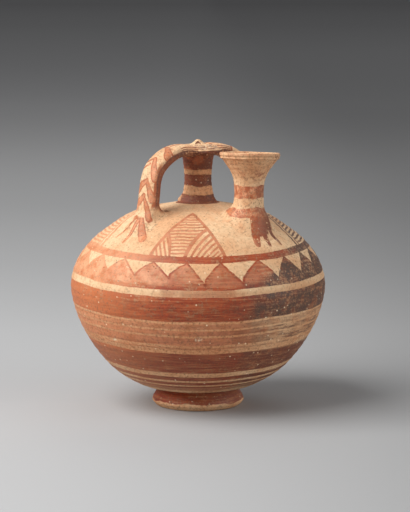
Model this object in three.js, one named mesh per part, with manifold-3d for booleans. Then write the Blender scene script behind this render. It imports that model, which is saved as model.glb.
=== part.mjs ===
// A small painted stirrup jar of fired clay. The round body is closed at the top by a false neck and a disc.
// Two strap handles arch from the disc to the shoulder, and the jar is filled and poured through a separate
// funnel spout. Each piece is one that the potter made by itself and luted to the others.
// Millimetres, +Z up. The origin is the centre of the foot's resting face.
// The spout stands towards -Y, and the handles lie along X.

import * as THREE from "three";
import { mergeVertices } from "three/addons/utils/BufferGeometryUtils.js";
import Module from "manifold-3d";

const wasm = await Module();
wasm.setup();

// Shared by all pieces
const jointGap = 0.3; // between a piece and the curved surface that it is fitted to
const overrun = 3; // how far a cutting solid runs past what it cuts
const weldDistance = 0.001;
const quarterTurn = Math.PI / 2;

// Foot: a low turned ring with a hollow underside
const footHeight = 9.5;
const footSeatRadius = 20.3;
const footWidestRadius = 24;
const footWidestHeight = 3.2;
const footRestInnerRadius = 16.4;
const footRestOuterRadius = 21.8;
const footHollowDepth = 6.2;

// Body: a lower half and a shoulder, luted together at the widest level
const bodyWall = 4.5;
const bodyRadius = 66;
const bodyWidestHeight = 62.5;
const shoulderHeight = 43; // from the widest level to the flat seat of the false neck
const neckSeatRadius = 10;

// Outline of the body as [share of bodyRadius, share of the height of its half]
const lowerOutlineShares = [
  [0.432, 0.028],
  [0.533, 0.085],
  [0.629, 0.16],
  [0.73, 0.274],
  [0.85, 0.47],
  [0.95, 0.715],
];
const shoulderOutlineShares = [
  [0.953, 0.3],
  [0.835, 0.547],
  [0.697, 0.716],
  [0.553, 0.858],
  [0.379, 0.947],
];

// False neck: a hollow spool that carries the disc
const neckHeight = 25.3;
const neckWaistRadius = 7.1;
const neckWaistShare = 0.45; // of neckHeight
const neckTopRadius = 8.8;
const neckBoreRadius = 3.2;
const neckFlareShare = 0.4; // of the flare from waist to end, at the height share below
const neckFlareHeightShare = 0.7; // of the way from waist to end

// Disc that closes the false neck, and the small cone on it
const discRadius = 12.5;
const discEdgeThickness = 2.5;
const discEdgeRound = 0.8;
const discCrownRise = 2;
const knobRadius = 3.8;
const knobHeight = 2.3;
const knobTipShare = 0.45; // of knobRadius

// Strap handles
const handleWidth = 12.4;
const handleOuterThickness = 3.3; // from the centreline to the convex outer face
const handleInnerThickness = 2.7; // from the centreline to the flatter inner face
const handleReach = 34.6; // from the jar's axis to the centreline of the upright part
const handleSpread = 1.8; // how much further out the root lies
const handleCrownAboveSeat = 1.6; // the centreline at the disc, above the disc's underside
const leftHandleRise = 1.2; // the left handle arches this much higher than the right
const outerRoundness = 3; // exponents of the two halves of the strap's section
const innerRoundness = 6;

// Centreline of a handle as [share of the way from disc to reach, share of the way from root to crown,
// share of the rise]
const handlePathShares = [
  [0, 0.985, 0],
  [0.24, 0.97, 0.8],
  [0.48, 0.915, 1],
  [0.71, 0.815, 1],
  [0.87, 0.705, 0.8],
  [0.955, 0.565, 0.5],
  [0.992, 0.4, 0],
];
// How much wider and thicker the strap gets, as [share of its length, share of width, share of thickness]
const handleSwellShares = [
  [0, 1.1, 1.15],
  [0.16, 1.02, 1.02],
  [0.38, 0.98, 1.06],
  [0.55, 0.97, 0.98],
  [0.72, 1, 1.02],
  [0.84, 1.03, 1.16],
  [0.92, 1.12, 1.5],
  [1, 1.25, 2.1],
];

// Spout: a funnel on a narrow neck, set over a pierced hole in the shoulder
const spoutOffset = 35.8; // from the jar's axis to the spout's axis, at the shoulder
const spoutHeight = 33.2; // from the shoulder to the lip
const spoutLeanDegrees = 1.8; // a hand-set lean towards the right handle
const spoutLipRadius = 15.3;
const spoutLipThickness = 1.7;
const spoutThroatRadius = 7.5;
const spoutBaseRadius = 11;
const spoutBoreRadius = 4.4;
const spoutGrooveDepth = 0.35;
const spoutHoleRadius = 4.6;

// Outside of the spout as [share of the way from throat radius to lip radius, share of spoutHeight]
const spoutFlareShares = [
  [0.08, 0.18],
  [0.01, 0.31],
  [0.01, 0.45],
  [0.08, 0.59],
  [0.3, 0.72],
  [0.56, 0.81],
  [0.79, 0.885],
];
// Lower edge, bottom and upper edge of the groove under the lip, as shares of spoutHeight
const spoutGrooveShares = [0.915, 0.935, 0.955];
const spoutThroatShare = 0.45; // of spoutHeight: the slant of the base fades out here
const spoutSlantShare = 0.6; // of the shoulder's slope, taken by the base
const spoutFunnelShare = 0.85; // of the way from bore to mouth, a third of the way down the funnel

// Facets round each piece
const bodySides = 60;
const footSides = 44;
const neckSides = 30;
const discSides = 36;
const knobSides = 18;
const spoutSides = 36;
const strapSides = 16;
const strapSteps = 22;

// Places that follow from the sizes above
const lowerHeight = bodyWidestHeight - footHeight;
const neckSeatHeight = bodyWidestHeight + shoulderHeight;
const discSeatHeight = neckSeatHeight + neckHeight;
const discEdgeTop = discSeatHeight + discEdgeThickness;
const discTopHeight = discEdgeTop + discCrownRise;

const point = (radius, height) => new THREE.Vector2(radius, height);

// A solid of revolution about Z from an outline of [radius, height] points.
function turned(outline, sides) {
  return new THREE.LatheGeometry(outline, sides).rotateX(quarterTurn);
}

function solidOf(geometry) {
  const bare = new THREE.BufferGeometry();
  bare.setAttribute("position", geometry.getAttribute("position"));
  bare.setIndex(geometry.getIndex());
  const welded = mergeVertices(bare, weldDistance);
  const vertProperties = welded.getAttribute("position").array;
  const triVerts = new Uint32Array(welded.getIndex().array);
  return new wasm.Manifold(new wasm.Mesh({ numProp: 3, vertProperties, triVerts }));
}

function geometryOf(solid) {
  const { vertProperties, triVerts, numProp } = solid.getMesh();
  const geometry = new THREE.BufferGeometry();
  geometry.setAttribute("position", new THREE.BufferAttribute(vertProperties, numProp));
  geometry.setIndex(new THREE.BufferAttribute(triVerts, 1));
  geometry.computeVertexNormals();
  return geometry;
}

// The outline moved sideways by a distance, to its left as it is walked.
function offsetOutline(outline, distance) {
  return outline.map((here, i) => {
    const before = outline[Math.max(i - 1, 0)];
    const after = outline[Math.min(i + 1, outline.length - 1)];
    const along = after.clone().sub(before).normalize();
    return point(here.x - along.y * distance, here.y + along.x * distance);
  });
}

// Every other point of an outline, which is enough for an inner face.
function thinned(outline) {
  return outline.filter((_, i) => i % 2 === (outline.length - 1) % 2);
}

// One smooth meridian for both halves of the body, from the foot's seat to the seat of the false neck.
function bodyMeridian() {
  const lower = lowerOutlineShares.map(([r, h]) => point(r * bodyRadius, footHeight + h * lowerHeight));
  const upper = shoulderOutlineShares.map(([r, h]) =>
    point(r * bodyRadius, bodyWidestHeight + h * shoulderHeight),
  );
  const knots = [
    point(footSeatRadius, footHeight),
    ...lower,
    point(bodyRadius, bodyWidestHeight),
    ...upper,
    point(neckSeatRadius, neckSeatHeight),
  ];
  const curve = new THREE.SplineCurve(knots);
  const widest = (lower.length + 1) / (knots.length - 1);
  const sample = (from, to, count) =>
    Array.from({ length: count + 1 }, (_, i) => curve.getPoint(from + ((to - from) * i) / count));
  return {
    lower: sample(0, widest, 2 * lower.length + 2),
    shoulder: sample(widest, 1, 2 * upper.length + 2),
  };
}

const meridian = bodyMeridian();

// Height of the shoulder's outer surface at a distance from the axis.
function shoulderHeightAt(radius) {
  const outline = meridian.shoulder;
  const next = Math.max(outline.findIndex((p) => p.x <= radius), 1);
  const low = outline[next - 1];
  const high = outline[next];
  return THREE.MathUtils.mapLinear(radius, low.x, high.x, low.y, high.y);
}

// Fall of the shoulder per unit of distance outwards, over a span about a radius.
function shoulderSlopeAt(radius, span) {
  return (shoulderHeightAt(radius - span) - shoulderHeightAt(radius + span)) / (2 * span);
}

// The space that the body and the shoulder fill, swollen by the joint gap, to fit handles and spout onto it.
function shoulderCutter() {
  const swollen = offsetOutline(meridian.shoulder, -jointGap);
  const top = swollen.at(-1);
  const outline = [
    point(0, bodyWidestHeight - overrun),
    point(bodyRadius + jointGap, bodyWidestHeight - overrun),
    ...swollen,
    point(0, top.y),
  ];
  return solidOf(turned(outline, bodySides));
}

// The false neck and the disc with the joint gap around them, and the space above the disc.
function neckCutter() {
  const neck = offsetOutline(neckOutline(), -jointGap);
  const discCut = discRadius + jointGap;
  const outline = [
    point(0, neck[0].y),
    ...neck.slice(0, -1),
    point(neckTopRadius + jointGap, discSeatHeight - jointGap),
    point(discCut, discSeatHeight - jointGap),
    point(discCut, discTopHeight + overrun + leftHandleRise),
    point(0, discTopHeight + overrun + leftHandleRise),
  ];
  return solidOf(turned(outline, discSides));
}

function footGeometry() {
  const edge = new THREE.SplineCurve([
    point(footRestOuterRadius, 0),
    point(footWidestRadius, footWidestHeight),
    point(footSeatRadius, footHeight),
  ]);
  const hollow = new THREE.QuadraticBezierCurve(
    point(0, footHollowDepth),
    point(footRestInnerRadius, footHollowDepth),
    point(footRestInnerRadius, 0),
  );
  return turned([...hollow.getPoints(5), ...edge.getPoints(8), point(0, footHeight)], footSides);
}

function lowerBodyGeometry() {
  const outside = meridian.lower;
  const floor = footHeight + bodyWall;
  const inside = thinned(offsetOutline(outside, bodyWall));
  inside[0] = point(footSeatRadius, floor);
  inside[inside.length - 1] = point(bodyRadius - bodyWall, bodyWidestHeight);
  const outline = [point(0, footHeight), ...outside, ...inside.toReversed(), point(0, floor)];
  return turned(outline, bodySides);
}

function shoulderGeometry() {
  const outside = meridian.shoulder;
  const inside = thinned(offsetOutline(outside, bodyWall));
  inside[0] = point(bodyRadius - bodyWall, bodyWidestHeight);
  const ceiling = inside.at(-1).y;
  const outline = [point(0, ceiling), ...inside.toReversed(), ...outside, point(0, neckSeatHeight)];
  const shell = solidOf(turned(outline, bodySides));
  const depth = bodyWall + spoutBaseRadius;
  const hole = new THREE.CylinderGeometry(spoutHoleRadius, spoutHoleRadius, 2 * depth, spoutSides);
  hole.rotateX(quarterTurn).applyMatrix4(spoutPlace());
  return geometryOf(shell.subtract(solidOf(hole)));
}

function neckOutline() {
  const waistHeight = neckSeatHeight + neckWaistShare * neckHeight;
  const flared = (endRadius) => THREE.MathUtils.lerp(neckWaistRadius, endRadius, neckFlareShare);
  const towards = (endHeight) => THREE.MathUtils.lerp(waistHeight, endHeight, neckFlareHeightShare);
  const side = new THREE.SplineCurve([
    point(neckSeatRadius, neckSeatHeight),
    point(flared(neckSeatRadius), towards(neckSeatHeight)),
    point(neckWaistRadius, waistHeight),
    point(flared(neckTopRadius), towards(discSeatHeight)),
    point(neckTopRadius, discSeatHeight),
  ]);
  return side.getPoints(10);
}

function falseNeckGeometry() {
  const bore = [point(neckBoreRadius, discSeatHeight), point(neckBoreRadius, neckSeatHeight)];
  const outline = [...neckOutline(), ...bore];
  return turned([...outline, outline[0].clone()], neckSides);
}

function discGeometry() {
  const roundCentre = discRadius - discEdgeRound;
  const lowerEdge = new THREE.QuadraticBezierCurve(
    point(roundCentre, discSeatHeight),
    point(discRadius, discSeatHeight),
    point(discRadius, discSeatHeight + discEdgeRound),
  );
  const crown = new THREE.CubicBezierCurve(
    point(discRadius, discEdgeTop - discEdgeRound),
    point(discRadius, discEdgeTop),
    point((discRadius + knobRadius) / 2, discTopHeight),
    point(knobRadius, discTopHeight),
  );
  const edge = [...lowerEdge.getPoints(3), ...crown.getPoints(7)];
  return turned([point(0, discSeatHeight), ...edge, point(0, discTopHeight)], discSides);
}

function knobGeometry() {
  const side = new THREE.CubicBezierCurve(
    point(knobRadius, discTopHeight),
    point(knobRadius * knobTipShare, discTopHeight + knobHeight / 2),
    point(knobRadius * knobTipShare, discTopHeight + knobHeight),
    point(0, discTopHeight + knobHeight),
  );
  return turned([point(0, discTopHeight), ...side.getPoints(6)], knobSides);
}

// A closed body through rings of points, with a flat cap on each end.
function loft(rings) {
  const sides = rings[0].length;
  const corner = (ring, side) => ring * sides + (side % sides);
  const faces = [];
  for (let ring = 0; ring < rings.length - 1; ring++) {
    for (let side = 0; side < sides; side++) {
      faces.push(corner(ring, side), corner(ring, side + 1), corner(ring + 1, side));
      faces.push(corner(ring, side + 1), corner(ring + 1, side + 1), corner(ring + 1, side));
    }
  }
  const last = rings.length - 1;
  for (let side = 1; side < sides - 1; side++) {
    faces.push(corner(0, 0), corner(0, side + 1), corner(0, side));
    faces.push(corner(last, 0), corner(last, side), corner(last, side + 1));
  }
  const geometry = new THREE.BufferGeometry().setFromPoints(rings.flat());
  geometry.setIndex(faces);
  return geometry;
}

// The value at a share of the length in a table of [share, value, value] rows, in smooth steps between them.
function tableValue(table, share, column) {
  const next = Math.max(table.findIndex((row) => row[0] >= share), 1);
  const [from, to] = [table[next - 1], table[next]];
  const step = THREE.MathUtils.smoothstep(share, from[0], to[0]);
  return THREE.MathUtils.lerp(from[column], to[column], step);
}

// Centreline of a handle in the XZ plane, towards +X. It starts inside the disc and ends under the shoulder.
function handlePath(rise) {
  const start = neckTopRadius;
  const crown = discSeatHeight + handleCrownAboveSeat;
  const rootRadius = handleReach + handleSpread;
  const root = shoulderHeightAt(rootRadius);
  const upright = handlePathShares.map(
    ([out, up, lift]) =>
      new THREE.Vector3(
        THREE.MathUtils.lerp(start, handleReach, out),
        0,
        THREE.MathUtils.lerp(root, crown, up) + lift * rise,
      ),
  );
  const foot = new THREE.Vector3(rootRadius, 0, root);
  const buried = new THREE.Vector3(rootRadius + handleSpread / 2, 0, root - bodyWall);
  return new THREE.CatmullRomCurve3([...upright, foot, buried]);
}

// The strap's section: a convex outer half and a flatter inner half.
function strapRing(centre, along, share) {
  const out = new THREE.Vector3(-along.z, 0, along.x);
  const halfWidth = (handleWidth / 2) * tableValue(handleSwellShares, share, 1);
  const swell = tableValue(handleSwellShares, share, 2);
  return Array.from({ length: strapSides }, (_, side) => {
    const angle = (side / strapSides) * 2 * Math.PI;
    const isOuter = Math.sin(angle) >= 0;
    const power = 2 / (isOuter ? outerRoundness : innerRoundness);
    const across = Math.sign(Math.cos(angle)) * Math.abs(Math.cos(angle)) ** power;
    const through = Math.abs(Math.sin(angle)) ** power;
    const thickness = swell * (isOuter ? handleOuterThickness : -handleInnerThickness);
    const sideways = new THREE.Vector3(0, across * halfWidth, 0);
    return centre.clone().addScaledVector(out, through * thickness).add(sideways);
  });
}

function handleGeometry(rise) {
  const path = handlePath(rise);
  const rings = Array.from({ length: strapSteps + 1 }, (_, step) => {
    const share = step / strapSteps;
    return strapRing(path.getPointAt(share), path.getTangentAt(share), share);
  });
  const strap = solidOf(loft(rings));
  return geometryOf(strap.subtract(shoulderCutter()).subtract(neckCutter()));
}

// The spout's axis: its origin on the shoulder, leaning a little towards +X.
function spoutPlace() {
  const lean = new THREE.Matrix4().makeRotationY(THREE.MathUtils.degToRad(spoutLeanDegrees));
  const place = new THREE.Matrix4().makeTranslation(0, -spoutOffset, shoulderHeightAt(spoutOffset));
  return place.multiply(lean);
}

function spoutGeometry() {
  const radiusAt = (share) => THREE.MathUtils.lerp(spoutThroatRadius, spoutLipRadius, share);
  const baseDepth = -spoutBaseRadius;
  const baseCurve = new THREE.SplineCurve([
    point(spoutBaseRadius, baseDepth),
    point(spoutBaseRadius, 0),
    ...spoutFlareShares.map(([out, up]) => point(radiusAt(out), up * spoutHeight)),
  ]);
  const lipUnder = point(spoutLipRadius - spoutGrooveDepth, spoutGrooveShares[0] * spoutHeight);
  const groove = point(lipUnder.x - spoutGrooveDepth, spoutGrooveShares[1] * spoutHeight);
  const lipEdge = point(spoutLipRadius, spoutGrooveShares[2] * spoutHeight);
  const mouthRadius = spoutLipRadius - spoutLipThickness;
  const lip = new THREE.QuadraticBezierCurve(
    lipEdge,
    point(spoutLipRadius, spoutHeight),
    point(spoutLipRadius - spoutLipThickness / 2, spoutHeight),
  );
  const throatHeight = spoutThroatShare * spoutHeight;
  const funnel = new THREE.CubicBezierCurve(
    point(mouthRadius, spoutHeight - spoutLipThickness / 2),
    point(
      THREE.MathUtils.lerp(spoutBoreRadius, mouthRadius, spoutFunnelShare),
      THREE.MathUtils.lerp(spoutHeight, throatHeight, 1 / 3),
    ),
    point(spoutBoreRadius, (throatHeight + spoutHeight) / 2),
    point(spoutBoreRadius, throatHeight),
  );
  const outline = [
    point(spoutBoreRadius, baseDepth),
    ...baseCurve.getPoints(15),
    lipUnder,
    groove,
    ...lip.getPoints(3),
    ...funnel.getPoints(8),
    point(spoutBoreRadius, baseDepth),
  ];
  const spout = slantedToShoulder(turned(outline, spoutSides)).applyMatrix4(spoutPlace());
  return geometryOf(solidOf(spout).subtract(shoulderCutter()));
}

// Tips the rings below the throat towards the shoulder's slope, more and more down to the base.
function slantedToShoulder(geometry) {
  const slope = spoutSlantShare * shoulderSlopeAt(spoutOffset, spoutThroatRadius);
  const throatHeight = spoutThroatShare * spoutHeight;
  const place = geometry.getAttribute("position");
  for (let i = 0; i < place.count; i++) {
    const slant = 1 - THREE.MathUtils.smoothstep(place.getZ(i), 0, throatHeight);
    place.setZ(i, place.getZ(i) + slant * slope * place.getY(i));
  }
  return geometry;
}

function named(name, geometry, color, roughness) {
  const material = new THREE.MeshStandardMaterial({ color, roughness, metalness: 0 });
  const mesh = new THREE.Mesh(geometry, material);
  mesh.name = name;
  return mesh;
}

const leftHandle = named("left_handle", handleGeometry(leftHandleRise), 0xd9a878, 0.8);
leftHandle.rotation.z = Math.PI;

const stirrupJar = new THREE.Group();
stirrupJar.add(
  named("foot", footGeometry(), 0xb5673f, 0.78),
  named("lower_body", lowerBodyGeometry(), 0x9c4a2f, 0.7),
  named("shoulder", shoulderGeometry(), 0xdcb083, 0.8),
  named("false_neck", falseNeckGeometry(), 0x8f4a34, 0.75),
  named("neck_disc", discGeometry(), 0xdcb287, 0.8),
  named("disc_knob", knobGeometry(), 0xd8ad82, 0.8),
  leftHandle,
  named("right_handle", handleGeometry(0), 0xd9a878, 0.8),
  named("spout", spoutGeometry(), 0xd79d6a, 0.8),
);

export default stirrupJar;
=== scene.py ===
# A small painted stirrup jar of fired clay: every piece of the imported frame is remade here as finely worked
# clay, with its thrown surface, smoothed joints and painted bands. Lengths are millimetres until a mesh is
# made. The spout stands towards -Y, the handles lie along X, and the camera looks from between them.
import math
from functools import partialmethod

import bmesh
import bpy
import numpy as np
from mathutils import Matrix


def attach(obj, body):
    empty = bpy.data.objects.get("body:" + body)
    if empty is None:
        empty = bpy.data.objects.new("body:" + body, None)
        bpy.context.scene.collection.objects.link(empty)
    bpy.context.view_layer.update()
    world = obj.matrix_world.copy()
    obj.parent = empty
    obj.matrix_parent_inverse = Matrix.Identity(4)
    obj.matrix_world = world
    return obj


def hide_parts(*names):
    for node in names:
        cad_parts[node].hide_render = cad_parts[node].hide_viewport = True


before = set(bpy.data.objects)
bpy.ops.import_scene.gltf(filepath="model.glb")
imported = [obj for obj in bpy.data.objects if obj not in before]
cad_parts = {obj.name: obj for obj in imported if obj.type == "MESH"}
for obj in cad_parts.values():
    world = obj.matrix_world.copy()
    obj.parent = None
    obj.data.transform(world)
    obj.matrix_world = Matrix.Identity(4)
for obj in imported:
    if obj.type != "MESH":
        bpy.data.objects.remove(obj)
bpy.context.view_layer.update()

MM = 0.001  # metres
FULL_TURN = 2 * math.pi

# Sizes of the real pieces, as in the frame
foot_height = 9.5
foot_seat_radius = 20.3
foot_widest_radius = 24.0
foot_widest_height = 3.2
foot_rest_inner = 16.4
foot_rest_outer = 21.8
foot_hollow_depth = 6.2
body_radius = 66.0
body_wall = 4.5
widest_height = 62.5
shoulder_height = 43.0
neck_height = 25.3
neck_seat_radius = 10.0
neck_waist_radius = 7.1
neck_top_radius = 8.8
neck_bore_radius = 3.2
disc_radius = 12.5
disc_edge_thickness = 2.5
disc_crown_rise = 2.0
knob_radius = 3.8
knob_height = 2.3
handle_width = 12.4
handle_outer_thickness = 3.3
handle_inner_thickness = 2.7
handle_reach = 34.6
handle_spread = 1.8
handle_crown_above_seat = 1.6
left_handle_rise = 1.2
spout_offset = 35.8
spout_height = 33.2
spout_lean = math.radians(1.8)
spout_lip_radius = 15.3
spout_throat_radius = 7.5
spout_base_radius = 11.0
spout_bore_radius = 4.4
spout_hole_radius = 4.6

# Levels and directions that follow from them
neck_seat = widest_height + shoulder_height
disc_seat = neck_seat + neck_height
disc_edge_top = disc_seat + disc_edge_thickness
disc_top = disc_edge_top + disc_crown_rise
knob_top = disc_top + knob_height
camera_azimuth = math.radians(225)

lower_shares = [(0.432, 0.028), (0.533, 0.085), (0.629, 0.16), (0.73, 0.274), (0.85, 0.47), (0.95, 0.715)]
shoulder_shares = [(0.953, 0.3), (0.835, 0.547), (0.697, 0.716), (0.553, 0.858), (0.379, 0.947)]


def smoothstep(value, low, high):
    share = np.clip((np.asarray(value, float) - low) / (high - low), 0, 1)
    return share * share * (3 - 2 * share)


def hermite(start, end, leave, arrive, step):
    """Points on a cubic curve from start to end, with its directions there."""
    cubic = 2 * start - 2 * end + leave + arrive
    square = -3 * start + 3 * end - 2 * leave - arrive
    return cubic * step**3 + square * step**2 + leave * step + start


def spline(knots, count):
    """Points on a smooth curve through the knots, with an even step from knot to knot."""
    knots = np.asarray(knots, float)
    last = len(knots) - 1
    place = np.linspace(0, last, count)
    index = np.minimum(place.astype(int), last - 1)
    step = (place - index)[:, None]
    before = knots[np.maximum(index - 1, 0)]
    start, end = knots[index], knots[index + 1]
    after = knots[np.minimum(index + 2, last)]
    return hermite(start, end, (end - before) / 2, (after - start) / 2, step)


def walked(points):
    """Length along a line of points, from its first point."""
    steps = np.linalg.norm(np.diff(points, axis=0), axis=1)
    return np.concatenate([[0], np.cumsum(steps)])


def bezier(t, first, second, third, last):
    """A cubic curve from its four control points."""
    return (1 - t) ** 3 * first + 3 * (1 - t) ** 2 * t * second + 3 * (1 - t) * t**2 * third + t**3 * last


def arc(t, first, corner, last):
    """A curve between two ends that rounds the corner between them."""
    return (1 - t) ** 2 * first + 2 * (1 - t) * t * corner + t**2 * last


def evenly(points, count, short=0.0):
    """The same line with evenly spaced points. It can end short of its last point."""
    length = walked(points[:, :3])
    at = np.linspace(0, length[-1] - short, count)
    return np.stack([np.interp(at, length, points[:, k]) for k in range(points.shape[1])], 1)


# Outline of the body from the foot's seat to the false neck, as radius and height, and the length along it
# from the widest level, which is negative below and positive on the shoulder
lower_height = widest_height - foot_height
body_knots = (
    [(foot_seat_radius, foot_height)]
    + [(r * body_radius, foot_height + h * lower_height) for r, h in lower_shares]
    + [(body_radius, widest_height)]
    + [(r * body_radius, widest_height + h * shoulder_height) for r, h in shoulder_shares]
    + [(neck_seat_radius, neck_seat)]
)
knot_steps = 100
body_line = spline(body_knots, knot_steps * (len(body_knots) - 1) + 1)
widest_row = knot_steps * (len(lower_shares) + 1)
body_length = walked(body_line)
body_length -= body_length[widest_row]
body_slope = np.gradient(body_line, body_length, axis=0)


def shoulder_z(radius):
    """Height of the shoulder's surface at a distance from the axis."""
    upper = body_line[widest_row:][::-1]
    return np.interp(radius, upper[:, 0], upper[:, 1])


def lumps(angle, along, seed, waves=6, reach=4, length=40.0):
    """A smooth hand-made unevenness round a pot, from -1 to 1."""
    draw = np.random.default_rng(seed)
    total = np.zeros(np.broadcast(angle, along).shape)
    for _ in range(waves):
        turns = draw.integers(1, reach + 1)
        wave = draw.uniform(-1, 1) * FULL_TURN / length
        total = total + np.sin(turns * angle + wave * along + draw.uniform(0, FULL_TURN))
    return total / waves


def chips(turn, rise, marks):
    """Depth of small chips, from marks of turn in degrees, rise, radius and depth."""
    depth = np.zeros(np.broadcast(turn, rise).shape)
    for mark_turn, mark_rise, radius, deep in marks:
        radius_here = np.interp(mark_rise, body_length, body_line[:, 0])
        sideways = np.radians((turn - mark_turn + 180) % 360 - 180) * radius_here
        far = np.hypot(sideways, rise - mark_rise) / radius
        depth = np.maximum(depth, deep * np.clip(1 - far**3, 0, 1))
    return depth


def facing_turn(angle):
    """Degrees round the pot from the side that faces the camera, positive to the right."""
    return (np.degrees(angle - camera_azimuth) + 180) % 360 - 180


def dab(turn, level, at_turn, at_level, width, height):
    """1 at one place on the pot, and softly down to 0 round it."""
    return np.exp(-(((turn - at_turn) / width) ** 2) - ((level - at_level) / height) ** 2)


body_chips = [
    (0.5, -19.5, 1.9, 0.55), (-50, 0.6, 1.2, 0.35), (-44, -22.8, 1.0, 0.35), (-30, -40, 1.1, 0.35),
    (10, -35.3, 1.0, 0.3), (9, -38, 0.9, 0.3), (32, -29, 1.1, 0.3), (-49, -36.8, 1.3, 0.3),
    (-35, 30, 0.9, 0.2), (150, 12, 2.0, 0.5), (-120, -15, 1.6, 0.4), (105, 40, 1.4, 0.35),
    (-150, 44, 1.2, 0.3),
]


def body_point(rise, angle):
    """A point of the body's outer surface, with its ridges, hollows and chips."""
    radius = np.interp(rise, body_length, body_line[:, 0])
    height = np.interp(rise, body_length, body_line[:, 1])
    out = np.interp(rise, body_length, body_slope[:, 1])
    up = -np.interp(rise, body_length, body_slope[:, 0])
    ridges = 0.07 * np.sin(rise * FULL_TURN / 4.3 + 0.9 * np.sin(angle + 0.4))
    ridges = ridges + 0.05 * np.sin(rise * FULL_TURN / 2.35 + 1.4 * np.sin(angle - 1.1))
    fade = smoothstep(rise, -75, -60) * (1 - smoothstep(rise, 66, 76))
    turn = facing_turn(angle)
    sunk = 0.42 - ridges - 0.26 * lumps(angle, rise, 3)
    sunk = (np.clip(sunk, 0, 2) + chips(turn, rise, body_chips)) * fade
    # A tongue of clay smeared on to the shoulder beside the left handle's root, with a crease below it
    edge = 58.3 - 0.25 * (turn + 27.8)
    tongue = np.exp(-(((turn + 37) / 11) ** 2)) * smoothstep(rise, edge - 0.3, edge + 0.35)
    tongue = tongue * (1 - smoothstep(rise, edge + 0.6, edge + 7))
    sunk = sunk - 0.55 * tongue + 0.35 * dab(turn, rise, -33, edge - 0.45, 9, 0.36)
    x = (radius - sunk * out) * np.cos(angle)
    y = (radius - sunk * out) * np.sin(angle)
    return np.stack([x, y, height - sunk * up + 0 * angle], -1)


# Meshes

def make_mesh(name, rows, loop=False, values=None, sharp_rows=()):
    """A closed body through rings of points. It closes with a fan at each end, or as a loop."""
    rows = np.asarray(rows, float)
    count, sides = rows.shape[:2]
    points = rows.reshape(-1, 3)
    ring = np.arange(count - (0 if loop else 1))
    side = np.arange(sides)
    low = ring[:, None] * sides
    high = ((ring[:, None] + 1) % count) * sides
    following = (side + 1) % sides
    quads = np.stack([low + side, low + following, high + following, high + side], -1).reshape(-1, 4)
    faces = quads.tolist()
    if not loop:
        points = np.vstack([points, rows[0].mean(0), rows[-1].mean(0)])
        bottom, top = count * sides, count * sides + 1
        last = (count - 1) * sides
        for here, there in zip(side.tolist(), following.tolist()):
            faces.append([bottom, there, here])
            faces.append([top, last + here, last + there])
    mesh = bpy.data.meshes.new(name)
    mesh.from_pydata((points * MM).tolist(), [], faces)
    for key, value in (values or {}).items():
        value = np.asarray(value, float)
        kind, field, width = ("FLOAT", "value", 1) if value.ndim == 2 else ("FLOAT_VECTOR", "vector", 3)
        attribute = mesh.attributes.new(key, kind, "POINT")
        flat = value.reshape(-1, width)
        if not loop:
            flat = np.vstack([flat, flat[:sides].mean(0), flat[-sides:].mean(0)])
        attribute.data.foreach_set(field, flat.ravel())
    mesh.shade_smooth()
    if sharp_rows:
        ends = np.empty(len(mesh.edges) * 2, int)
        mesh.edges.foreach_get("vertices", ends)
        at = ends.reshape(-1, 2) // sides
        sharp = (at[:, 0] == at[:, 1]) & np.isin(at[:, 0], [r % count for r in sharp_rows])
        mesh.edges.foreach_set("use_edge_sharp", sharp)
    mesh.update()
    return mesh


def put(name, data):
    """A new object in the scene."""
    thing = bpy.data.objects.new(name, data)
    bpy.context.collection.objects.link(thing)
    return thing


def add_piece(name, mesh, node, material):
    piece = put(name, mesh)
    mesh.materials.append(material)
    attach(piece, "root")
    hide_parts(node)
    return piece


def rings_from(outline, sides):
    """Rings round the axis from an outline of radius and height."""
    angle = np.linspace(0, FULL_TURN, sides, endpoint=False)
    radius, height = outline[:, 0][:, None], outline[:, 1][:, None]
    return np.stack([radius * np.cos(angle), radius * np.sin(angle), height + 0 * angle], -1)


def in_round(rows):
    """Angle, distance from the axis and height of points."""
    return np.arctan2(rows[..., 1], rows[..., 0]), np.hypot(rows[..., 0], rows[..., 1]), rows[..., 2].copy()


def push(rows, angle, amount):
    """Moves points away from the axis."""
    rows[..., 0] += amount * np.cos(angle)
    rows[..., 1] += amount * np.sin(angle)


def put_outward(mesh):
    """Turns every face of a closed mesh outwards."""
    work = bmesh.new()
    work.from_mesh(mesh)
    bmesh.ops.recalc_face_normals(work, faces=work.faces)
    work.to_mesh(mesh)
    work.free()


# Foot: a rounded ring with a hollow underside
def foot_mesh():
    side = [(foot_rest_outer, 0), (foot_widest_radius, foot_widest_height), (foot_seat_radius, foot_height)]
    inner, deep = foot_rest_inner, foot_hollow_depth
    hollow = arc(np.linspace(0.06, 1, 12)[:-1, None], [0, deep], [inner, deep], [inner, 0])
    rim = [(inner, 0.4), (inner + 0.5, 0.0), (foot_rest_outer - 0.6, 0.0)]
    top = [(12.0, foot_height), (2.0, foot_height)]
    rows = rings_from(np.vstack([hollow, rim, spline(side, 26)[1:], top]), 220)
    angle, radius, height = in_round(rows)
    turn = facing_turn(angle)
    outer = smoothstep(radius, 19.5, 21.5)
    ridge = 0.08 * np.sin(height * FULL_TURN / 2.1 + np.sin(angle))
    sunk = outer * np.clip(0.3 - ridge - 0.28 * lumps(angle, height, 11, length=12), 0, 1)
    nick = dab(turn, height, 28, 0.6, 7, 1.5) + 0.7 * dab(turn, height, -41, 1.1, 4, 1.2)
    push(rows, angle, -(sunk + 0.55 * outer * nick))
    return make_mesh("foot_clay_body", rows)


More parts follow.
